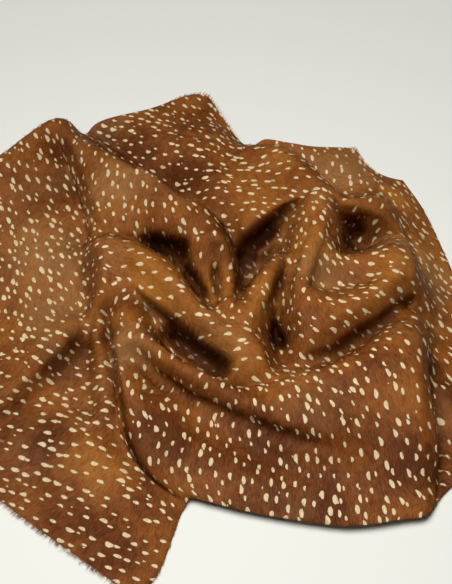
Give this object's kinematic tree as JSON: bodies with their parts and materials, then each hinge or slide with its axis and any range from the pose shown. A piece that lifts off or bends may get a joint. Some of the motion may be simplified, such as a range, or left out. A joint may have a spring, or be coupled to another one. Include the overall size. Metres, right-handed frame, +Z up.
{
  "type": "hair-on deer hide",
  "caption": "Hair-on hide with cream spots on brown, lying on a surface with its middle drawn up into a whirl of soft folds and its edges spread flat.",
  "frame": {"origin": "middle of the hide's plan box, on the surface it lies on", "axes": "+X to the right and +Y to the back as the hide is seen in the picture, +Z up"},
  "size_m": [0.6776, 0.7224, 0.0803],
  "materials": {
    "hide": "short glossy chestnut hair with cream spots; plain tan leather below"
  },
  "bodies": {
    "root": {"hide": "hide"}
  },
  "joints": []
}
